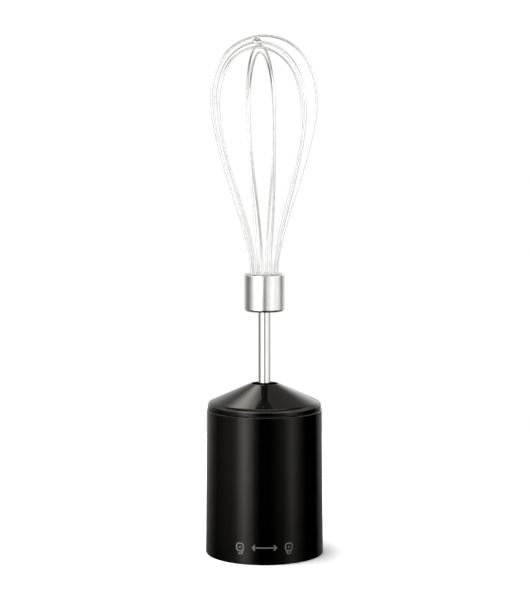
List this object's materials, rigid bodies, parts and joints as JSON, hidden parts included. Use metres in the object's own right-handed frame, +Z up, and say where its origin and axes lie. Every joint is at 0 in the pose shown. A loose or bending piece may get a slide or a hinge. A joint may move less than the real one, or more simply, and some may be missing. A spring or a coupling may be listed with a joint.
{
  "type": "hand blender whisk attachment",
  "caption": "Whisk attachment for a hand blender: a tall round coupling unit with a reduction gear inside, a cone cap, and a balloon whisk on a steel shaft.",
  "frame": {"origin": "centre of the bottom rim of the coupling unit, on the surface that it stands on", "axes": "+Z up along the whisk's axis of rotation, -Y towards the side that carries the lock marks"},
  "size_m": [0.058, 0.058, 0.2537],
  "materials": {
    "black_gloss": "polished black ABS",
    "black_plastic": "moulded, satin",
    "seal_rubber": "moulded rubber",
    "gear_plastic": "natural acetal",
    "cast_alloy": "die cast",
    "bronze": "sintered bronze",
    "machined_steel": "machined",
    "stainless_steel": "polished stainless steel"
  },
  "bodies": {
    "housing": {"outer_shell": "black_gloss", "coupling_sleeve": "black_plastic", "cone_cap": "black_gloss", "shaft_seal": "seal_rubber", "gearbox_base": "cast_alloy", "ring_gear": "gear_plastic", "gearbox_lid": "cast_alloy", "gearbox_screws": "machined_steel", "input_bush": "bronze", "output_bush": "bronze"},
    "input": {"sun_gear": "machined_steel", "drive_coupling": "black_plastic", "input_circlip": "machined_steel"},
    "carrier": {"planet_carrier": "machined_steel", "planet_pins": "machined_steel", "carrier_plate": "machined_steel", "thrust_washer": "gear_plastic", "output_washer": "machined_steel", "output_circlip": "machined_steel", "snap_ring": "machined_steel"},
    "planet_1": {"planet_gear_1": "gear_plastic"},
    "planet_2": {"planet_gear_2": "gear_plastic"},
    "planet_3": {"planet_gear_3": "gear_plastic"},
    "whisk": {"whisk_shaft": "stainless_steel", "hub_base": "stainless_steel", "hub_shell": "stainless_steel", "wire_holder": "black_plastic", "wire_loop_1": "stainless_steel", "wire_loop_2": "stainless_steel", "wire_loop_3": "stainless_steel", "wire_loop_4": "stainless_steel", "wire_loop_5": "stainless_steel", "tip_bead": "stainless_steel"}
  },
  "joints": [
    {"name": "whisk_spin", "type": "hinge", "parent": "housing", "child": "carrier", "pos_m": [0, 0, 0.05], "axis": [0, 0, 1], "continuous": true},
    {"name": "input_spin", "type": "hinge", "parent": "housing", "child": "input", "pos_m": [0, 0, 0.027], "axis": [0, 0, 1], "continuous": true},
    {"name": "planet_spin_1", "type": "hinge", "parent": "carrier", "child": "planet_1", "pos_m": [0, 0.01125, 0.03455], "axis": [0, 0, 1], "continuous": true},
    {"name": "planet_spin_2", "type": "hinge", "parent": "carrier", "child": "planet_2", "pos_m": [-0.00974, -0.00562, 0.03455], "axis": [0, 0, 1], "continuous": true},
    {"name": "planet_spin_3", "type": "hinge", "parent": "carrier", "child": "planet_3", "pos_m": [0.00974, -0.00562, 0.03455], "axis": [0, 0, 1], "continuous": true},
    {"name": "whisk_pull", "type": "slide", "parent": "carrier", "child": "whisk", "axis": [0, 0, 1], "range_m": [0, 0.034]}
  ],
  "couplings": [
    {"joint": "input_spin", "follows": "whisk_spin", "ratio": 5},
    {"joint": "planet_spin_1", "follows": "whisk_spin", "ratio": -2.6667},
    {"joint": "planet_spin_2", "follows": "whisk_spin", "ratio": -2.6667},
    {"joint": "planet_spin_3", "follows": "whisk_spin", "ratio": -2.6667}
  ]
}
